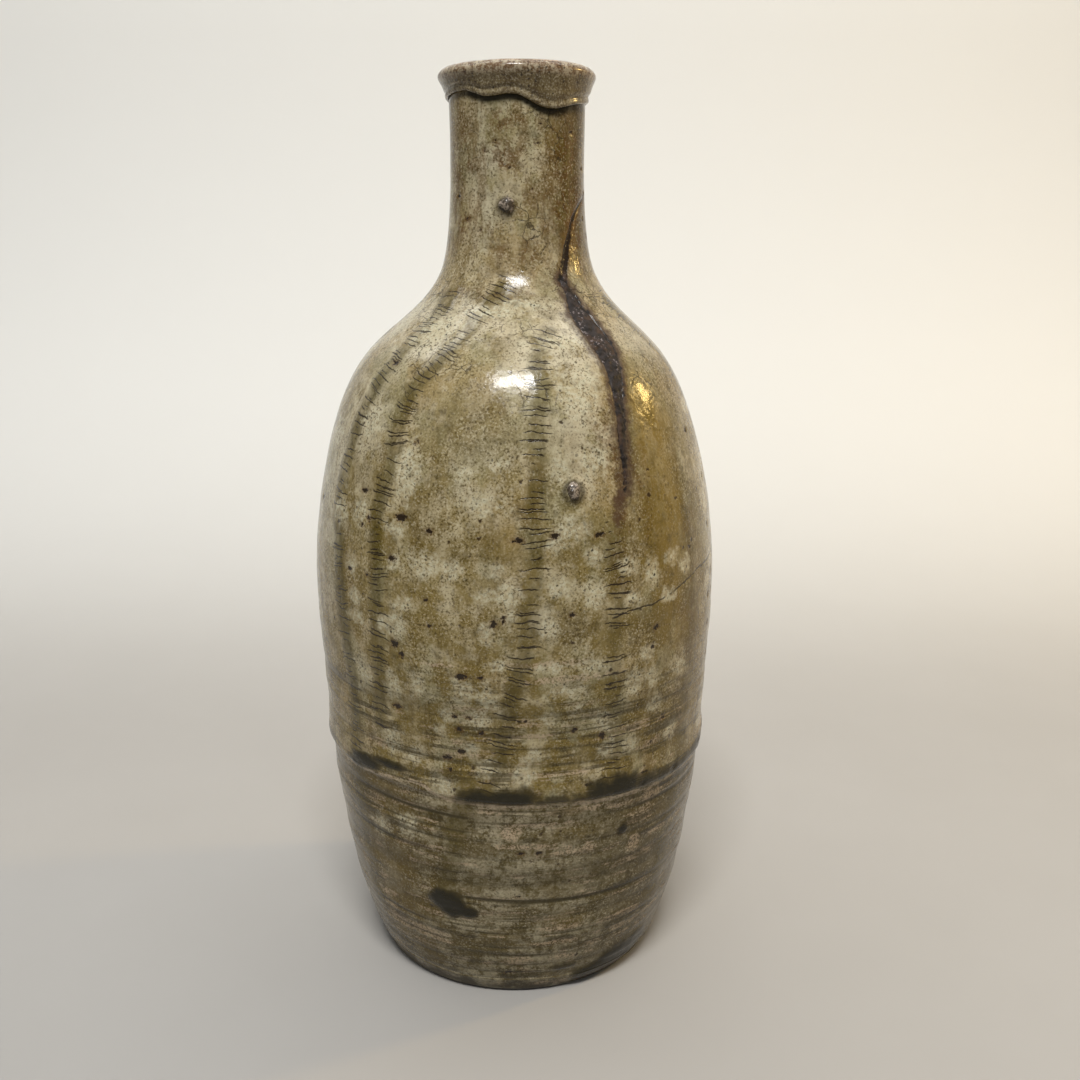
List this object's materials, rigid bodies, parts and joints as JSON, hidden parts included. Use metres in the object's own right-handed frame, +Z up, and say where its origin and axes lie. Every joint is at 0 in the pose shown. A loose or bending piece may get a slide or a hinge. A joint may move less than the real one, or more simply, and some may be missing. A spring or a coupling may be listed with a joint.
{
  "type": "stoneware sake bottle",
  "caption": "Tall ash-glazed stoneware bottle with an ovoid body, a straight narrow neck and a rolled lip, for storing and pouring liquid.",
  "frame": {"origin": "centre of the flat foot, on the surface that the bottle stands on", "axes": "+Z up the bottle's axis from foot to mouth; -Y is the front, with the wavy dip of the lip; +X is the side that the shoulder crack is on"},
  "size_m": [0.1238, 0.1238, 0.27],
  "materials": {
    "base_clay": "bare brown stoneware clay, rough",
    "lower_glaze": "thin olive ash glaze over throwing rings, with dark green-brown pools at a ledge",
    "upper_glaze": "glossy khaki ash glaze with olive runs, pale mottling, craze lines and small pits",
    "neck_glaze": "glossy grey-khaki ash glaze with brown streaks and speckles",
    "lip_glaze": "olive-brown glaze with a speckled rusty top edge",
    "crack_slag": "dark purple-brown slag, uneven, half gloss",
    "kiln_grit": "lump of grit in a dark glassy rim"
  },
  "bodies": {
    "root": {"base_disc": "base_clay", "lower_body": "lower_glaze", "upper_body": "upper_glaze", "neck": "neck_glaze", "folded_lip": "lip_glaze", "crack_slag": "crack_slag", "neck_grit": "kiln_grit", "belly_grit": "kiln_grit"}
  },
  "joints": []
}
